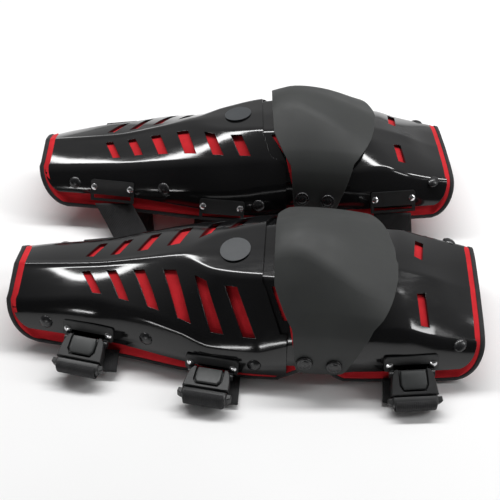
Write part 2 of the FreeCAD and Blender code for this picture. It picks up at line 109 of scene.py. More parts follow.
# Slots in a shell's flanks: x at the ridge end, how much further the outer one's lower end lies,
# width along X, and how far down the flank each reaches, outer then inner.
SHIN_SLOTS = [
    (-157, 14, 8.0, 0.90, 0.82),
    (-132, 16, 9.0, 0.92, 0.78),
    (-105, 18, 10.5, 0.93, 0.81),
    (-75, 17, 12.5, 0.94, 0.84),
    (-45, 18, 11.5, 0.94, 0.88),
    (-16, 19, 11.5, 0.94, 0.92),
]
PLATE_SLOTS = [(27, 12, 12.0, 0.72, 0.72)]
THIGH_SLOTS = [(161, 3, 8.0, 0.86, 0.7)]
INNER_SLANT = 10


# ---- the two guards -----------------------------------------------------------------------
class Guard:
    """Where one guard lies, from its two knee joints."""

    def __init__(self, side):
        self.side = side
        self.hand = 1 if side == "left" else -1
        lower, upper = JOINTS[f"{side}_knee_lower"], JOINTS[f"{side}_knee_upper"]
        self.y = Vector(lower["axis"]).normalized()
        step = Vector(upper["pos_m"]) - Vector(lower["pos_m"])
        dx, dz = THIGH_PIVOT[0] - KNEE_PIVOT[0], THIGH_PIVOT[1] - KNEE_PIVOT[1]
        self.x = (step * dx + self.y.cross(step) * dz).normalized()
        self.z = self.x.cross(self.y)
        self.origin = Vector(lower["pos_m"]) - MM * (self.x * KNEE_PIVOT[0] + self.z * KNEE_PIVOT[1])
        self.axes = np.array([self.x, self.y * self.hand, self.z])

    def place(self, points):
        """Guard-frame points as row-frame ones."""
        return np.asarray(points, float).reshape(-1, 3) @ self.axes * MM + np.array(self.origin)

    def name(self, part):
        return f"{self.side}_{part}"


GUARDS = [Guard("left"), Guard("right")]


def add_mesh(name, points, faces, material, body, mirrored=False, uv=None):
    """An object in the row frame that rides on a CAD body, or on none yet."""
    mesh = bpy.data.meshes.new(name)
    faces = [tuple(f[::-1]) if mirrored else tuple(f) for f in faces]
    mesh.from_pydata([tuple(p) for p in points], [], faces)
    if uv is not None:
        layer = mesh.uv_layers.new(name="UVMap")
        for loop in mesh.loops:
            layer.data[loop.index].uv = uv[loop.vertex_index]
    mesh.shade_smooth()
    mesh.materials.append(material)
    obj = bpy.data.objects.new(name, mesh)
    bpy.context.scene.collection.objects.link(obj)
    tidy = bmesh.new()
    tidy.from_mesh(mesh)
    loose = [v for v in tidy.verts if not v.link_faces]
    bmesh.ops.delete(tidy, geom=loose, context="VERTS")
    tidy.to_mesh(mesh)
    tidy.free()
    if body:
        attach(obj, body)
    return obj


def thicken(obj, thickness):
    """Gives an outside surface its wall, inwards, in mm."""
    mod = obj.modifiers.new("Thickness", "SOLIDIFY")
    mod.thickness = thickness * MM
    mod.offset = -1.0
    mod.use_even_offset = False


def round_edges(obj, width, segments=2, angle=50.0):
    """Rounds edges sharper than the angle, by a width in mm."""
    mod = obj.modifiers.new("Edges", "BEVEL")
    mod.width = width * MM
    mod.segments = segments
    mod.limit_method = "ANGLE"
    mod.angle_limit = math.radians(angle)
    mod.harden_normals = True


# ---- materials ----------------------------------------------------------------------------
class Nodes:
    """A short way to write a node material on the Principled shader."""

    def __init__(self, name, **sockets):
        self.material = bpy.data.materials.new(name)
        self.material.use_nodes = True
        self.tree = self.material.node_tree
        self.shader = self.tree.nodes["Principled BSDF"]
        for socket, value in sockets.items():
            self.shader.inputs[socket.replace("_", " ")].default_value = value
        self.where = self.tree.nodes.new("ShaderNodeTexCoord").outputs["Object"]

    def link(self, out, into):
        self.tree.links.new(out, into)

    def noise(self, scale, detail=3.0, where=None, stretch=(1, 1, 1)):
        mapping = self.tree.nodes.new("ShaderNodeMapping")
        mapping.inputs["Scale"].default_value = stretch
        self.link(where or self.where, mapping.inputs["Vector"])
        node = self.tree.nodes.new("ShaderNodeTexNoise")
        node.inputs["Scale"].default_value = scale
        node.inputs["Detail"].default_value = detail
        self.link(mapping.outputs["Vector"], node.inputs["Vector"])
        return node.outputs["Fac"]

    def waves(self, scale, direction, where=None):
        node = self.tree.nodes.new("ShaderNodeTexWave")
        node.bands_direction = direction
        node.inputs["Scale"].default_value = scale
        self.link(where or self.where, node.inputs["Vector"])
        return node.outputs["Fac"]

    def uv(self):
        return self.tree.nodes.new("ShaderNodeTexCoord").outputs["UV"]

    def ramp(self, value, low, high):
        node = self.tree.nodes.new("ShaderNodeValToRGB")
        for stop, colour, at in zip(node.color_ramp.elements, (low, high), (0.3, 0.7)):
            stop.color = (*colour, 1.0)
            stop.position = at
        self.link(value, node.inputs["Fac"])
        return node.outputs["Color"]

    def span(self, value, low, high):
        node = self.tree.nodes.new("ShaderNodeMapRange")
        node.inputs["To Min"].default_value = low
        node.inputs["To Max"].default_value = high
        self.link(value, node.inputs["Value"])
        return node.outputs["Result"]

    def math(self, operation, a, b):
        node = self.tree.nodes.new("ShaderNodeMath")
        node.operation = operation
        for value, socket in zip((a, b), node.inputs):
            if isinstance(value, (int, float)):
                socket.default_value = value
            else:
                self.link(value, socket)
        return node.outputs["Value"]

    def bump(self, height, strength, distance):
        node = self.tree.nodes.new("ShaderNodeBump")
        node.inputs["Strength"].default_value = strength
        node.inputs["Distance"].default_value = distance
        self.link(height, node.inputs["Height"])
        self.link(node.outputs["Normal"], self.shader.inputs["Normal"])

    def colour(self, value):
        self.link(value, self.shader.inputs["Base Color"])

    def roughness(self, value):
        self.link(value, self.shader.inputs["Roughness"])


def gloss_black():
    """Moulded gloss plastic with fine handling marks along the shell."""
    n = Nodes("gloss_black", IOR=1.5)
    n.colour(n.ramp(n.noise(14.0), (0.0045, 0.0045, 0.005), (0.008, 0.008, 0.0085)))
    marks = n.noise(260.0, 4.0, stretch=(0.12, 1.0, 1.0))
    n.roughness(n.span(marks, 0.05, 0.15))
    n.bump(n.noise(70.0, 2.0), 0.08, 0.0006)
    return n.material


def soft_touch():
    """Dark grey rubbery coating with a fine grain."""
    n = Nodes("soft_touch", Sheen_Weight=0.06, Specular_IOR_Level=0.4)
    n.colour(n.ramp(n.noise(22.0), (0.019, 0.0205, 0.020), (0.025, 0.027, 0.026)))
    n.roughness(n.span(n.noise(90.0), 0.5, 0.62))
    n.bump(n.noise(2600.0, 2.0), 0.12, 0.0002)
    return n.material


def foam_red():
    """Knitted cloth laminated to foam."""
    n = Nodes("foam_red", Sheen_Weight=0.15, Sheen_Roughness=0.4, Specular_IOR_Level=0.25)
    n.colour(n.ramp(n.noise(60.0, 4.0), (0.46, 0.008, 0.014), (0.60, 0.014, 0.022)))
    n.roughness(n.span(n.noise(200.0), 0.75, 0.92))
    knit = n.math("MULTIPLY", n.waves(260.0, "X"), n.waves(260.0, "Y"))
    n.bump(knit, 0.35, 0.0003)
    return n.material


def binding_black():
    """Folded black tape with a fine rib."""
    n = Nodes("binding_black", Sheen_Weight=0.1, Specular_IOR_Level=0.35)
    n.colour(n.ramp(n.noise(120.0), (0.006, 0.006, 0.007), (0.014, 0.014, 0.015)))
    n.roughness(n.span(n.noise(300.0), 0.6, 0.8))
    n.bump(n.waves(420.0, "X"), 0.4, 0.0003)
    return n.material


def webbing_black():
    """Elastic webbing: fine cross ribs between smooth edges, along the strap's own length."""
    n = Nodes("webbing_black", Sheen_Weight=0.08, Specular_IOR_Level=0.3)
    n.colour(n.ramp(n.noise(150.0), (0.009, 0.009, 0.010), (0.018, 0.018, 0.019)))
    n.roughness(n.span(n.noise(300.0), 0.65, 0.85))
    ribs = n.math("ADD", n.waves(330.0, "X", n.uv()), n.waves(160.0, "Y", n.uv()))
    n.bump(ribs, 0.5, 0.0004)
    return n.material


def moulded_black(name, low, high, rough):
    """Satin moulded plastic."""
    n = Nodes(name)
    n.colour(n.ramp(n.noise(80.0), low, high))
    n.roughness(n.span(n.noise(350.0), rough - 0.06, rough + 0.08))
    n.bump(n.noise(1500.0, 2.0), 0.1, 0.0002)
    return n.material


def steel():
    n = Nodes("screw_steel", Metallic=1.0)
    n.colour(n.ramp(n.noise(400.0), (0.55, 0.55, 0.56), (0.78, 0.78, 0.79)))
    n.roughness(n.span(n.noise(600.0), 0.14, 0.3))
    return n.material


MATERIALS = {
    "shell": gloss_black(),
    "cup": soft_touch(),
    "foam": foam_red(),
    "binding": binding_black(),
    "webbing": webbing_black(),
    "buckle": moulded_black("buckle_black", (0.009, 0.0095, 0.010), (0.015, 0.0155, 0.016), 0.42),
    "button": moulded_black("button_grey", (0.018, 0.020, 0.020), (0.025, 0.027, 0.027), 0.46),
    "rivet": moulded_black("rivet_black", (0.008, 0.008, 0.009), (0.013, 0.013, 0.014), 0.26),
    "steel": steel(),
    "badge": moulded_black("badge_grey", (0.030, 0.034, 0.038), (0.037, 0.041, 0.045), 0.50),
}


# ---- curved walls -------------------------------------------------------------------------
def smooth_rows(table, x):
    """The table's eight numbers at any x, on smooth curves that never overshoot a station."""
    at = np.array([row[0] for row in table], float)
    value = np.array([[row[1], *row[2], *row[3], *row[4], row[5]] for row in table], float)
    h = np.diff(at)
    rise = np.diff(value, axis=0) / h[:, None]
    slope = np.zeros_like(value)
    slope[0], slope[-1] = rise[0], rise[-1]
    a, b = rise[:-1], rise[1:]
    with np.errstate(divide="ignore", invalid="ignore"):
        mean = 2 * a * b / (a + b)
    slope[1:-1] = np.where(a * b > 0, mean, 0)
    i = np.clip(np.searchsorted(at, x) - 1, 0, len(h) - 1)
    t = ((x - at[i]) / h[i])[..., None]
    hi = h[i][..., None]
    return (
        value[i] * (1 + 2 * t) * (1 - t) ** 2 + slope[i] * hi * t * (1 - t) ** 2
        + value[i + 1] * t**2 * (3 - 2 * t) + slope[i + 1] * hi * t**2 * (t - 1)
    )


class Rows:
    """The rows of a wall's grid, from the outer lower edge over the ridge to the inner one.
    A flank has three parts, so that slots can end on a row: below, beside and above them."""

    BAND, BELOW, BESIDE, ABOVE, PANEL, TURN = 16, 5, 18, 4, 10, 5

    def __init__(self):
        self.rows = []
        for k in range(6):
            if k in (0, 5):
                self.edge(k, "band", self.BAND)
            elif k == 1:
                for part, n in (("below", self.BELOW), ("beside", self.BESIDE), ("above", self.ABOVE)):
                    self.edge(k, part, n)
            elif k == 4:
                for part, n in (("above", self.ABOVE), ("beside", self.BESIDE), ("below", self.BELOW)):
                    self.edge(k, part, n)
            else:
                self.edge(k, "panel", self.PANEL)
            if k < 5:
                self.rows += [(k + 1, "corner", (i + 0.5) / self.TURN) for i in range(self.TURN)]

    def edge(self, k, part, n):
        joined = bool(self.rows) and self.rows[-1][0] == k and self.rows[-1][1] != "corner"
        self.rows += [(k, part, i / n) for i in range(1 if joined else 0, n + 1)]


class Wall:
    """A curved wall that follows a table of sections between two side outlines."""

    PASSES = 12  # of the search for where a row meets an outline
    FIRST_HEIGHT = 60.0  # where that search starts
    PLAIN_REACH = 0.6  # how far down a flank its rows divide where it has no slots
    BAND_ROWS = 40  # the lowest grid rows of one side, which hold the rivets
    ALONG, UP = 8, 4  # how far apart two points give a direction on the band

    def __init__(self, table, low, foot, start, end, fillets, slots=(), top=0.13, span=None, step=3.0):
        self.table, self.low, self.foot, self.fillets = table, low, foot, fillets
        self.rows = Rows().rows
        self.slots = slots
        self.top = top
        self.columns = None
        count = len(self.rows)
        self.begin = self.limit(start, count)
        self.finish = self.limit(end, count)
        span = span or (self.begin.min(), self.finish.max())
        self.columns = self.spread(span, step)
        self.points = self.section(self.fit_columns(span))

    def limit(self, outline, count):
        """x where each row meets a side outline, which gives x for a height. A pair of outlines
        is for the outer and the inner side."""
        pair = outline if isinstance(outline, tuple) else (outline, outline)
        sides = []
        for line in pair:
            x = np.full(count, float(line(np.array([self.FIRST_HEIGHT]))[0]))
            for _ in range(self.PASSES):
                x = 0.5 * x + 0.5 * line(self.section(x[None, :])[0, :, 2])
            sides.append(x)
        return np.where(np.arange(count) < count // 2, *sides)

    def spread(self, span, step):
        marks = [span[0]]
        for at, _, width, _, _ in self.slots:
            marks += [at - width / 2, at + width / 2]
        marks.append(span[1])
        columns = [marks[0]]
        for a, b in zip(marks, marks[1:]):
            n = max(2, round((b - a) / step))
            columns += list(np.linspace(a, b, n + 1)[1:])
        return np.array(columns)

    def slot_curve(self, index):
        """A slot property at every column, from the slots' own values."""
        return np.interp(self.columns, [s[0] for s in self.slots], [s[index] for s in self.slots])

    def slant(self, inner):
        """How far a slot's lower end lies along the wall from its upper one."""
        if inner and len(self.slots) > 1:
            return np.full(len(self.columns), float(INNER_SLANT))
        return self.slot_curve(1)

    def slant_share(self, k, part, t):
        """How much of the slant a row has: none over the ridge, all of it below the slots."""
        if k in (2, 3) or part == "above" or (part == "corner" and k in (2, 4)):
            return 0.0
        if part == "beside":
            return 1 - t if k == 1 else t
        if part == "band":
            return t if k == 0 else 1 - t
        return 1.0

    def fit_columns(self, span):
        """x of every grid point: slanted beside the slots, and trimmed to the side outlines."""
        columns = self.columns
        if not self.slots:
            along = (columns - span[0]) / (span[1] - span[0])
            return self.begin + along[:, None] * (self.finish - self.begin)
        x = np.zeros((len(columns), len(self.rows)))
        first = self.slots[0][0] - self.slots[0][2] / 2
        last = self.slots[-1][0] + self.slots[-1][2] / 2
        for j, (k, part, t) in enumerate(self.rows):
            inner = k > 3 or (k == 3 and part == "corner" and t > 0.5)
            moved = columns + self.slant(inner) * self.slant_share(k, part, t)
            edge_a, edge_b = np.interp([first, last], columns, moved)
            before, after = columns < first, columns > last
            t0 = (columns - span[0]) / (first - span[0])
            t1 = (columns - last) / (span[1] - last)
            x[:, j] = moved
            x[before, j] = (self.begin[j] + t0 * (edge_a - self.begin[j]))[before]
            x[after, j] = (edge_b + t1 * (self.finish[j] - edge_b))[after]
        return x

    def section(self, x):
        """Grid points for x[i, j], where j is the row."""
        w, oy, oz, iy, iz, p, hp, h = np.moveaxis(smooth_rows(self.table, x), -1, 0)
        zero, low = np.zeros_like(w), np.full_like(w, self.low)
        corner = np.stack([
            np.stack(pair, -1) for pair in
            ((-w, low), (-oy, oz), (-p, hp), (zero, h), (p, hp), (iy, iz), (w, low))
        ], -2)
        side = np.diff(corner, axis=-2)
        length = np.linalg.norm(side, axis=-1)
        setback = np.zeros(corner.shape[:-1])
        for k in range(1, 6):
            shorter = np.minimum(length[..., k - 1], length[..., k])
            setback[..., k] = np.minimum(self.fillets[k - 1], 0.4 * shorter)

        def on_side(j, k, share):
            a, d = corner[:, j, k], side[:, j, k]
            out = np.stack([-d[:, 1], d[:, 0]], -1)
            return a + d * share[:, None] + out * (4 * BULGES[k] * share * (1 - share))[:, None]

        def beside(j, k, t):
            n = length[:, j, k]
            first = setback[:, j, k] / n
            last = 1 - setback[:, j, k + 1] / n
            if k == 0:
                first = (self.foot(x[:, j]) - self.low) / (oz[:, j] - self.low)
            if k == 5:
                last = 1 - (self.foot(x[:, j]) - self.low) / (iz[:, j] - self.low)
            return on_side(j, k, first + (last - first) * t)

        plane = np.zeros(corner.shape[:2] + (2,))
        for j, (k, part, t) in enumerate(self.rows):
            if part == "corner":
                a = on_side(j, k - 1, 1 - setback[:, j, k] / length[:, j, k - 1])
                b = on_side(j, k, setback[:, j, k] / length[:, j, k])
                plane[:, j] = a * (1 - t) ** 2 + corner[:, j, k] * 2 * t * (1 - t) + b * t**2
                continue
            share = np.full(len(x), t)
            if k in (1, 4):
                reach = self.reach_of(k, len(x))
                stops = {"below": (1.0, reach), "beside": (reach, self.top), "above": (self.top, 0.0)}[part]
                if k == 1:
                    share = 1 - (stops[0] + (stops[1] - stops[0]) * t)
                else:
                    share = stops[1] + (stops[0] - stops[1]) * t
                share = np.broadcast_to(share, len(x))
            plane[:, j] = beside(j, k, share)
        return np.concatenate([x[..., None], plane], -1)

    def reach_of(self, k, count):
        """How far down the flank the slots reach at each column."""
        if not self.slots or self.columns is None:
            return np.full(count, self.PLAIN_REACH)
        curve = self.slot_curve(3 if k == 1 else 4)
        return curve if len(curve) == count else np.full(count, curve.mean())

    def normals(self):
        along, across = np.gradient(self.points, axis=0), np.gradient(self.points, axis=1)
        out = np.cross(along, across)
        return out / np.maximum(np.linalg.norm(out, axis=-1, keepdims=True), 1e-9)

    def inside(self, depth):
        """The grid moved in from the outside surface."""
        depth = np.asarray(depth)
        return self.points - self.normals() * (depth[..., None] if depth.ndim else depth)

    def holes(self):
        """The grid's faces that lie in a slot."""
        found = set()
        middle = [(a + b) / 2 for a, b in zip(self.columns, self.columns[1:])]
        for at, _, width, _, _ in self.slots:
            for i, x in enumerate(middle):
                if abs(x - at) < width / 2:
                    for j, (row, after) in enumerate(zip(self.rows, self.rows[1:])):
                        if after[1] == "beside" and row[0] == after[0]:
                            found.add((i, j))
                        elif row[1] == "beside" and after[1] == "beside":
                            found.add((i, j))
        return found

    def at(self, x, z, outer=True):
        """A point on the lower band, with its three directions: along, up the band and out."""
        half = [j for j, row in enumerate(self.rows) if (row[0] <= 1 if outer else row[0] >= 4)]

        def spot_and_above(at):
            line = self.section(np.full((1, len(self.rows)), float(at)))[0][half]
            band = line[np.argsort(line[:, 2])[:self.BAND_ROWS]]
            y, y_above = np.interp((z, z + self.UP), band[:, 2], band[:, 1])
            return Vector((at, y, z)), Vector((at, y_above, z + self.UP))

        here, above = spot_and_above(x)
        along = (spot_and_above(x + self.ALONG)[0] - spot_and_above(x - self.ALONG)[0]).normalized()
        up = (above - here).normalized()
        out = along.cross(up).normalized()
        if not outer:
            out = -out
        return here, along, up, out


def grid_faces(shape, holes=()):
    count = shape[1]
    return [
        (i * count + j, (i + 1) * count + j, (i + 1) * count + j + 1, i * count + j + 1)
        for i in range(shape[0] - 1) for j in range(count - 1) if (i, j) not in holes
    ]


def wall_object(guard, part, grid, material, body, holes=()):
    return add_mesh(
        guard.name(part), guard.place(grid), grid_faces(grid.shape, holes), material,
        guard.name(body), guard.hand < 0,
    )


def ease(z, z0, z1, x0, x1):
    """A quarter turn: x0 at height z0, upright at z1 with x1, for the corner of an outline."""
    s = np.clip((z1 - z) / (z1 - z0), 0, 1)
    return x1 + (x0 - x1) * (1 - np.sqrt(np.maximum(1 - s**2, 0)))


def steps(*pairs):
    """Straight runs through pairs of numbers: x for a height, or a height for x."""
    given, found = zip(*pairs)
    return lambda value: np.interp(value, given, found)


def level(height):
    return steps((0, height))


SHIN_WALL = Wall(
    SHIN, EDGE_Z, steps((-120, 16), (0, 9), (38, 7)), lambda z: ease(z, 16, 50, -205, -228),
    steps((8, 38), (60, 37), (84, 13)), (5, 4, 6, 4, 5), SHIN_SLOTS, span=(-228, 34), step=2.6,
)
PLATE_WALL = Wall(
    SHIN, EDGE_Z, level(20.5), steps((38, -4), (44, 14), (62, 16), (76, 4)),
    steps((20, 48), (24, 60), (33, 64), (40, 60), (46, 51), (90, 48)), (6, 4, 6, 4, 6),
    PLATE_SLOTS, top=0.08, span=(-4, 52),
)
CUP_WALL = Wall(
    CUP, EDGE_Z - 4, level(16.0), steps((16, 51), (22, 46.5), (28, 45), (66, 42), (90, 24), (140, 20)),
    (
        steps((15, 84), (20, 91), (31, 96), (49, 105), (66, 115), (71, 124), (75, 131), (78, 137), (90, 139)),
        steps((15, 84), (20, 91), (31, 95), (49, 102), (66, 108), (72, 116), (77, 126), (80, 135), (90, 139)),
    ),
    (12, 7, 12, 7, 12),
)
THIGH_WALL = Wall(
    THIGH, EDGE_Z, steps((86, 11), (102, 14), (194, 15)),
    steps((8, 84), (22, 72), (30, 70.5), (36, 74), (76, 92), (94, 94)),
    lambda z: ease(z, 15, 42, 194, 212), (5, 4, 3, 4, 5), THIGH_SLOTS, top=0.04, span=(78, 212),
)


# Part, wall, depth of its outside under the wall's, thickness, edge radius and its segments,
# material, body, slot.
SHELLS = [
    ("shin_shell", SHIN_WALL, 0.0, SHELL_T, (0.5, 2), "shell", "shin", "shell_black"),
    ("knee_plate", PLATE_WALL, SHELL_T + FIT, PLATE_T, (0.4, 2), "shell", "shin", "shell_black"),
    ("knee_cup", CUP_WALL, 0.0, CUP_T, (0.9, 3), "cup", "cup", "cup_soft_touch"),
    ("thigh_shell", THIGH_WALL, CUP_T + FIT, SHELL_T, (0.5, 2), "shell", "thigh", "shell_black"),
]


def shell(guard, part, wall, depth, thickness, edge, material, body, slot):
    grid = wall.inside(depth)
    obj = wall_object(guard, part + "_moulding", grid, MATERIALS[material], body, wall.holes())
    thicken(obj, thickness)
    round_edges(obj, *edge)
    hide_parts(guard.name(part))


# ---- foam linings -------------------------------------------------------------------------
SHIN_LINING = Wall(
    SHIN, -1.5, level(0.2), lambda z: ease(z, 0.2, 50, -200, -232) + ease(z, 40, 75, 0, 5),
    steps((1.8, 30), (18, 52), (26, 60.5), (33, 62), (40, 60), (46, 53), (72, 47), (90, 43)),
    (8, 7, 8, 7, 8),
)
THIGH_LINING = Wall(
    THIGH, -1.5, level(0.2),
    steps((0.2, 91), (8, 81), (18, 74.5), (30, 75), (42, 80), (72, 98), (90, 100)),
    lambda z: ease(z, 0.2, 40, 194, 219), (8, 7, 8, 7, 8),
)
BEAD, BEAD_AT, BEAD_WIDTH = 2.6, 8.5, 3.4  # the foam's roll: height, way in from the border, spread
FLARE, FLARE_WIDTH = 4.0, 9.0  # the turn outwards of the border itself


# The tape's section: outwards from the foam's border, and up from the middle of its thickness.
HALF = FOAM_T / 2
TAPE_PROFILE = [
    (-3.8, HALF + 0.3), (-3.0, HALF + 0.9), (0.2, HALF + 0.9), (1.6, HALF * 0.5),
    (1.6, -HALF * 0.5), (0.2, -HALF - 0.8), (-3.0, -HALF - 0.9), (-3.8, -HALF - 0.3),
]


def border_distance(grid):
    """How far each grid point lies from the grid's border, along the grid's own lines."""
    across = np.linalg.norm(np.diff(grid, axis=1), axis=-1)
    along = np.linalg.norm(np.diff(grid, axis=0), axis=-1)
    zero_j, zero_i = np.zeros((grid.shape[0], 1)), np.zeros((1, grid.shape[1]))
    run_j = np.concatenate([zero_j, np.cumsum(across, axis=1)], 1)
    run_i = np.concatenate([zero_i, np.cumsum(along, axis=0)], 0)
    return np.minimum.reduce([run_j, run_j[:, -1:] - run_j, run_i, run_i[-1:] - run_i])


def lining(guard, part, wall, depth, body):
    """Foam with a soft roll along its border, and a folded tape sewn round it."""
    inwards = border_distance(wall.points)
    roll = BEAD * np.exp(-(((inwards - BEAD_AT) / BEAD_WIDTH) ** 2))
    roll += FLARE * np.exp(-((inwards / FLARE_WIDTH) ** 2))
    grid = wall.inside(depth(wall.points[..., 0]) - roll)
    obj = wall_object(guard, part + "_foam", grid, MATERIALS["foam"], body)
    thicken(obj, FOAM_T)
    round_edges(obj, 1.8, 3)
    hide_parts(guard.name(part))
    binding(guard, part.replace("liner", "binding"), grid, wall.normals(), body)


def binding(guard, part, grid, normal, body):
    """The tape, swept round the foam's border."""
    middle = grid - normal * (FOAM_T / 2)
    last_i, last_j = grid.shape[0] - 1, grid.shape[1] - 1
    loop = [(i, 0) for i in range(0, last_i)] + [(last_i, j) for j in range(0, last_j)]
    loop += [(i, last_j) for i in range(last_i, 0, -1)] + [(0, j) for j in range(last_j, 0, -1)]
    ring = np.array([middle[i, j] for i, j in loop])
    up = np.array([normal[i, j] for i, j in loop])
    ahead = np.roll(ring, -1, axis=0) - np.roll(ring, 1, axis=0)
    ahead /= np.maximum(np.linalg.norm(ahead, axis=1, keepdims=True), 1e-9)
    out = np.cross(ahead, up)
    out /= np.linalg.norm(out, axis=1, keepdims=True)
    n = len(TAPE_PROFILE)
    points = np.array([ring + out * a + up * b for a, b in TAPE_PROFILE]).transpose(1, 0, 2).reshape(-1, 3)
    count = len(loop)
    faces = []
    for i in range(count):
        for k in range(n):
            a, b = i * n + k, i * n + (k + 1) % n
            c, d = ((i + 1) % count) * n + (k + 1) % n, ((i + 1) % count) * n + k
            faces.append((a, d, c, b))
    obj = add_mesh(guard.name(part + "_tape"), guard.place(points), faces, MATERIALS["binding"],
                   guard.name(body), guard.hand < 0)
    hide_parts(guard.name(part))


def under_shin(x):
    """Depth of the shin foam: one shell down, and one plate more near the knee."""
    return SHELL_T + FIT + np.clip((x + 63) / 32, 0, 1) * (PLATE_T + FIT)


def under_thigh(x):
    """Depth of the thigh foam: under the cup and the shell."""
    return np.full_like(x, CUP_T + SHELL_T + 3 * FIT)


# ---- rivets -------------------------------------------------------------------------------
RIVET_TURNS = 32
# Radius and height over the wall, from the middle out.
SNAP_PROFILE = [(0, 2.9), (2, 2.75), (4, 2.2), (5.3, 1.4), (6.0, 0.8), (6.4, 0.3), (6.4, -0.8)]
PIVOT_PROFILE = [(0, 3.4), (3.2, 3.3), (4.6, 3.0), (5.0, 2.5), (5.6, 2.5), (6.1, 2.9), (6.9, 2.6),
                 (7.5, 1.6), (7.5, -1.2)]


def heads(guard, part, wall, depth, spots, profile, body):
    """Turned rivet heads on both bands of a wall, as one piece."""
    points, faces = [], []
    for x, z in spots:
        for outer in (True, False):
            here, along, up, out = wall.at(x, z, outer)
            here = here - out * depth
            base = len(points)
            for radius, height in profile:
                for k in range(RIVET_TURNS):
                    turn = 2 * math.pi * k / RIVET_TURNS
                    spoke = along * math.cos(turn) + up * math.sin(turn)
                    points.append(here + spoke * radius + out * height)
            flip = not outer
            for i in range(len(profile) - 1):
                for k in range(RIVET_TURNS):
                    a, b = base + i * RIVET_TURNS + k, base + i * RIVET_TURNS + (k + 1) % RIVET_TURNS
                    face = (a, a + RIVET_TURNS, b + RIVET_TURNS, b)
                    faces.append(face[::-1] if flip else face)
    obj = add_mesh(guard.name(part + "_heads"), guard.place(points), faces, MATERIALS["rivet"],
                   guard.name(body), guard.hand < 0)
    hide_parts(guard.name(part))


# ---- buckles ------------------------------------------------------------------------------
BUCKLES = ("ankle", "calf", "thigh")
# Outlines in a buckle's frame: across the strap, and outwards from the hinge.
SOCKET_ARMS = [
    (-16, -3.2), (-19, 2), (-20.5, 10), (-21.5, 21), (21.5, 21), (20.5, 10), (19, 2), (16, -3.2),
    (12.8, -3.2), (12.8, 12.5), (9.8, 17.4), (-9.8, 17.4), (-12.8, 12.5), (-12.8, -3.2),
]
SOCKET_SLAB = [
    (-15.6, -3), (-18.6, 2), (-20.2, 10), (-21.2, 20.6), (21.2, 20.6), (20.2, 10), (18.6, 2), (15.6, -3),
]
BUTTON_PAD = [
    (-11.4, -1.3), (-11.9, 4), (-11.8, 12), (-9.4, 16.2), (9.4, 16.2), (11.8, 12), (11.9, 4), (11.4, -1.3),
]
TONGUE_BODY = [(-20.5, 21.6), (-21, 27), (-19.5, 31), (19.5, 31), (21, 27), (20.5, 21.6)]
TONGUE_EARS = [(-24.5, 22.5), (-25, 27.0), (-22, 28.8), (22, 28.8), (25, 27.0), (24.5, 22.5)]
TONGUE_BLADE = [(-14, 6.4), (-14, 22), (14, 22), (14, 6.4)]
# Part, material, slot, and its blocks: an outline, and the inset from it at each height.
BUCKLE_PARTS = [
    ("socket", "buckle", "buckle_black", [
        (SOCKET_ARMS, [(0.4, -5.8), (0, -5.0), (0, 5.0), (0.8, 6.2)]),
        (SOCKET_SLAB, [(0.6, -6.2), (0, -5.4), (0, 2.6), (0.2, 2.8)]),
    ]),
    ("button", "button", "button_grey", [
        (BUTTON_PAD, [(0.2, 4.4), (0, 4.7), (0, 6.6), (0.7, 7.7), (2.4, 8.1)]),
    ]),
    ("tongue", "buckle", "buckle_black", [
        (TONGUE_BODY, [(0.8, -5.2), (0, -4.2), (0, 4.0), (1.0, 5.2), (2.4, 5.6)]),
        (TONGUE_EARS, [(0.5, -3.6), (0, -3.0), (0, 3.0), (0.6, 3.8)]),
        (TONGUE_BLADE, [(0, -3.0), (0, 1.0)]),
    ]),
]


class Hinge:
    """A buckle's own frame: across the strap, outwards from the hinge, and up."""

    def __init__(self, guard, where):
        swing = JOINTS[guard.name(f"{where}_socket_swing")]
        pull = JOINTS[guard.name(f"{where}_tongue_pull")]
        self.at = Vector(swing["pos_m"])
        self.out = Vector(pull["axis"]).normalized()
        self.across = Vector(swing["axis"]).normalized() * -guard.hand
        if self.across.x < 0:
            self.across = -self.across
        self.up = self.out.cross(self.across).normalized()
        if self.up.z < 0:
            self.up = -self.up

    def place(self, points):
        """Points of the buckle's frame, in mm, as row-frame ones."""
        return [self.at + MM * (self.across * a + self.out * u + self.up * v) for a, u, v in points]


def tube_faces(rings, n):
    """The faces of rings of n points each, joined up and closed at both ends."""
    faces = [
        (i * n + k, i * n + (k + 1) % n, (i + 1) * n + (k + 1) % n, (i + 1) * n + k)
        for i in range(rings - 1) for k in range(n)
    ]
    return faces + [tuple(range(n))[::-1], tuple((rings - 1) * n + k for k in range(n))]


def block(outline, profile):
    """A closed form over an outline. The profile gives an inset for each height."""
    line = np.array(outline, float)
    area = np.sum(line[:, 0] * np.roll(line[:, 1], -1) - line[:, 1] * np.roll(line[:, 0], -1))
    if area < 0:
        line = line[::-1]
    before, after = line - np.roll(line, 1, 0), np.roll(line, -1, 0) - line
    normals = [np.stack([-d[:, 1], d[:, 0]], 1) / np.linalg.norm(d, axis=1)[:, None] for d in (before, after)]
    mitre = normals[0] + normals[1]
    mitre /= np.sum(mitre * normals[0], axis=1)[:, None]
    n = len(line)
    points = []
    for inset, height in profile:
        points += [(x, y, height) for x, y in line + mitre * inset]
    return points, tube_faces(len(profile), n)


def moulding(guard, where, part, material, slot, blocks):
    """Blocks in the buckle's frame, as one piece that stands for a CAD node."""
    hinge = Hinge(guard, where)
    points, faces = [], []
    for outline, profile in blocks:
        more, sides = block(outline, profile)
        faces += [tuple(len(points) + k for k in face) for face in sides]
        points += more
    body = f"{where}_{part}"
    hand = hinge.across.cross(hinge.out).dot(hinge.up) < 0
    obj = add_mesh(guard.name(body + "_moulding"), hinge.place(points), faces, MATERIALS[material],
                   guard.name(body), hand)
    round_edges(obj, 0.7, 3, 25.0)
    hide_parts(guard.name(body))


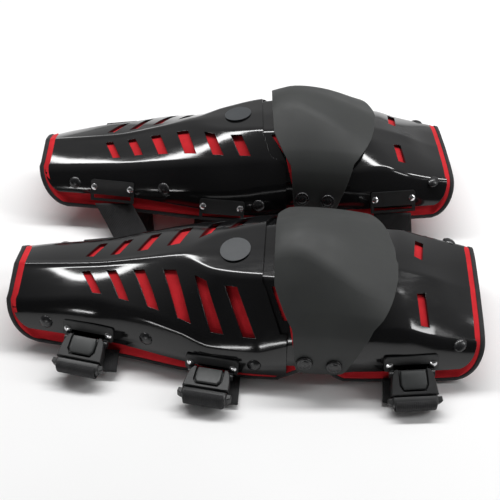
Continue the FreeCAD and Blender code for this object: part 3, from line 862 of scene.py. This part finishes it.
# ---- straps -------------------------------------------------------------------------------
STRAP_W = 40.0
STRAP_T = 1.7
LOOP_W = 37.0
# The body that holds each keeper, the wall it is on, its x and z there, and its depth.
STRAP_SPOTS = {
    "ankle": ("shin", SHIN_WALL, -150, 24, 0.0),
    "calf": ("shin", SHIN_WALL, -31, 17, 0.0),
    "thigh": ("thigh", THIGH_WALL, 152, 26, CUP_T + FIT),
}
STRAP_REACH = {"left": (92, 99, 108), "right": (94, 95, 92)}  # fold's distance inwards, by strap
KEEPER_DOWN, KEEPER_OUT = 15.2, 1.6  # from a keeper's screws to the middle of its slot
UNDER_SOCKET = [(26, -9.8), (15, -10.2), (4, -10.4)]  # out from the hinge, and up
# The loop through the tongue: out from the hinge, and up.
STRAP_LOOP = [
    (2, -7.2), (14, -7.2), (22, -7.0), (25.6, -4.5), (26.4, 0), (26.8, 4.8), (29.2, 6.7), (32, 5.2),
    (33.2, 1), (32.9, -4), (30.4, -7.6), (23, -8.6), (14, -8.9), (3, -8.9),
]
# Half of the webbing's section: a share of its width, and of its thickness.
WEBBING_SECTION = [
    (-0.5, 0.25), (-0.47, 0.5), (-0.25, 0.47), (0.0, 0.5), (0.25, 0.47), (0.47, 0.5), (0.5, 0.25),
]
# How far each strap strays along the guard, at its buckle and at its fold.
DRIFT = {"left": ((9, 4), (6, 5), (-5, -5)), "right": ((4, 26), (0, -16), (4, 4))}


def smooth_path(points, spacing=2.5):
    """A Catmull-Rom curve through the points."""
    p = np.array(points, float)
    p = np.concatenate([[2 * p[0] - p[1]], p, [2 * p[-1] - p[-2]]])
    line = []
    for a, b, c, d in zip(p, p[1:], p[2:], p[3:]):
        n = max(2, int(np.linalg.norm(c - b) / spacing))
        for t in np.arange(n) / n:
            square, cube = 2 * a - 5 * b + 4 * c - d, 3 * b - a - 3 * c + d
            line.append(0.5 * (2 * b + (c - a) * t + square * t**2 + cube * t**3))
    line.append(p[-2])
    return np.array(line)


def ribbon(name, line, across, width, body):
    """Webbing along a line, with thin edges. The line and its sideways direction are in metres."""
    ahead = np.gradient(line, axis=0)
    ahead /= np.linalg.norm(ahead, axis=1, keepdims=True)
    across = np.array(across)
    up = np.cross(across, ahead)
    up /= np.linalg.norm(up, axis=1, keepdims=True)
    loop = WEBBING_SECTION + [(a, -t) for a, t in WEBBING_SECTION[::-1]]
    run = np.concatenate([[0], np.cumsum(np.linalg.norm(np.diff(line, axis=0), axis=1))])
    points, uv = [], []
    for centre, normal, along in zip(line, up, run):
        for a, t in loop:
            points.append(centre + across * a * width * MM + normal * t * STRAP_T * MM)
            uv.append((along, a * width * MM))
    faces = tube_faces(len(line), len(loop))
    return add_mesh(name, points, faces, MATERIALS["webbing"], body, True, uv)


def strap(guard, k, where):
    """The main strap runs from under the socket, flat on the floor, to the keeper on the inner
    side. A second length is looped through the tongue and lies over the first one's end."""
    host, wall, x, z, depth = STRAP_SPOTS[where]
    hinge = Hinge(guard, where)
    inwards = Vector((0, 0, 1)).cross(guard.x) * guard.hand
    base = Vector((guard.origin.x, guard.origin.y, 0)) + guard.x * x * MM

    def flat(point):
        """Distance inwards and height over the floor, in mm."""
        return (point - base).dot(inwards) / MM, point.z / MM

    def buckle_side(u, v):
        return flat(hinge.at + MM * (hinge.out * u + hinge.up * v))

    here, _, up, out = wall.at(x, z, False)
    slot = here - out * depth - up * KEEPER_DOWN + out * KEEPER_OUT
    keeper = flat(Vector(guard.place(slot)[0]))
    reach, low = STRAP_REACH[guard.side][k], STRAP_T / 2 + 0.2
    start = flat(hinge.at)[0]
    route = [buckle_side(u, v) for u, v in UNDER_SOCKET] + [(start + 9, low + 1.5), (start + 22, low)]
    route = [(s, max(h, low)) for s, h in route]
    route += [(s, low) for s in np.linspace(start + 45, reach - 14, 4)]
    route += [
        (reach - 3, low + 0.2), (reach, low + 2.2), (reach - 2.6, low + 4.6),
        (keeper[0] + (reach - keeper[0]) * 0.45, max(keeper[1] * 0.5, low + 5)), keeper,
    ]
    line = smooth_path(route)
    share = np.clip((line[:, 0] - start) / (reach - start), 0, 1)
    fold = int(np.argmax(line[:, 0]))
    first, last = DRIFT[guard.side][k]
    back = np.linspace(1, 0, len(line) - fold)
    drift = np.concatenate([first + (last - first) * share[:fold], last * back])
    at = np.array([
        base + guard.x * d * MM + inwards * s * MM + Vector((0, 0, h * MM)) for (s, h), d in zip(line, drift)
    ])
    main = ribbon(guard.name(f"{where}_strap_webbing"), at, guard.x, STRAP_W, None)
    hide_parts(guard.name(f"{where}_strap"))
    guard.name(host)
    guard.name(f"{where}_socket")
    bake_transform(main)

    at = np.array(hinge.place([(0, u, v) for u, v in smooth_path(STRAP_LOOP, 1.5)]))
    tongue = guard.name(f"{where}_tongue")
    end = ribbon(guard.name(f"{where}_strap_loop"), at, hinge.across, LOOP_W, tongue)


# ---- CAD nodes that stay ------------------------------------------------------------------
KEPT = {
    "shin_badge": "badge", "shin_screws": "steel", "thigh_screws": "steel", "shin_brackets": "buckle",
    "shin_keepers": "buckle", "thigh_bracket": "buckle", "thigh_keeper": "buckle",
}


def finish_kept_nodes(guard):
    for part, material in KEPT.items():
        obj = frame["nodes"][guard.name(part)]
        for slot in obj.material_slots:
            slot.material = MATERIALS[material]
        if material == "buckle":
            round_edges(obj, 0.5, 2, 35.0)


# ---- studio -------------------------------------------------------------------------------
def floor():
    mesh = bpy.data.meshes.new("floor")
    half = 6.0
    corners = [(-half, -half, 0), (half, -half, 0), (half, half, 0), (-half, half, 0)]
    mesh.from_pydata(corners, [], [(0, 1, 2, 3)])
    obj = bpy.data.objects.new("floor", mesh)
    bpy.context.scene.collection.objects.link(obj)
    n = Nodes("floor_white", Roughness=0.9)
    n.colour(n.ramp(n.noise(3.0), (0.86, 0.86, 0.86), (0.90, 0.90, 0.90)))
    mesh.materials.append(n.material)


AIM = Vector((0, 0, 0.04))  # what the softboxes face


def softbox(name, at, size, watts):
    light = bpy.data.lights.new(name, "AREA")
    light.shape = "RECTANGLE"
    light.size, light.size_y = size
    light.energy = watts
    obj = bpy.data.objects.new(name, light)
    obj.location = at
    obj.rotation_mode = "QUATERNION"
    obj.rotation_quaternion = (AIM - Vector(at)).to_track_quat("-Z", "Y")
    bpy.context.scene.collection.objects.link(obj)


def world():
    """Pale behind the object, darker on the camera's side."""
    made = bpy.data.worlds.new("studio")
    made.use_nodes = True
    tree = made.node_tree
    where = tree.nodes.new("ShaderNodeTexCoord")
    split = tree.nodes.new("ShaderNodeSeparateXYZ")
    tree.links.new(where.outputs["Generated"], split.inputs["Vector"])
    ramp = tree.nodes.new("ShaderNodeValToRGB")
    for stop, at, grey in zip(ramp.color_ramp.elements, (0.25, 0.85), (0.10, 1.0)):
        stop.position = at
        stop.color = (grey, grey, grey, 1)
    half = tree.nodes.new("ShaderNodeMapRange")
    half.inputs["From Min"].default_value = -1.0
    tree.links.new(split.outputs["Y"], half.inputs["Value"])
    tree.links.new(half.outputs["Result"], ramp.inputs["Fac"])
    background = tree.nodes["Background"]
    tree.links.new(ramp.outputs["Color"], background.inputs["Color"])
    background.inputs["Strength"].default_value = 0.5
    bpy.context.scene.world = made


def camera():
    """Square to the guards' length, looking down on them at 42 degrees."""
    target = Vector((0.0063, -0.0172, 0.017))
    distance, elevation = 1.0, math.radians(42)
    data = bpy.data.cameras.new("camera")
    data.sensor_width = 36.0
    data.lens = 68.04
    obj = bpy.data.objects.new("camera", data)
    back = Vector((0, -math.cos(elevation), math.sin(elevation)))
    obj.location = target + back * distance
    obj.rotation_mode = "QUATERNION"
    obj.rotation_quaternion = (-back).to_track_quat("-Z", "Y")
    bpy.context.scene.collection.objects.link(obj)
    bpy.context.scene.camera = obj


camera()
floor()
world()
softbox("overhead", (0.0, 0.5, 1.5), (2.4, 0.16), 30)
softbox("front_left", (-0.6, -1.5, 0.25), (0.6, 0.06), 2.0)
softbox("right", (1.3, -0.2, 0.9), (0.15, 0.9), 6)
bpy.context.scene.view_settings.view_transform = "Standard"

for guard in GUARDS:
    for row in SHELLS:
        shell(guard, *row)
    lining(guard, "shin_liner", SHIN_LINING, under_shin, "shin")
    lining(guard, "thigh_liner", THIGH_LINING, under_thigh, "thigh")
    heads(guard, "shin_rivets", SHIN_WALL, 0.0, SHIN_RIVETS, SNAP_PROFILE, "shin")
    heads(guard, "thigh_rivets", THIGH_WALL, CUP_T + FIT, THIGH_RIVETS, SNAP_PROFILE, "thigh")
    heads(guard, "pivot_rivets", CUP_WALL, 0.0, (KNEE_PIVOT, THIGH_PIVOT), PIVOT_PROFILE, "cup")
    for k, where in enumerate(BUCKLES):
        for row in BUCKLE_PARTS:
            moulding(guard, where, *row)
        strap(guard, k, where)
    finish_kept_nodes(guard)
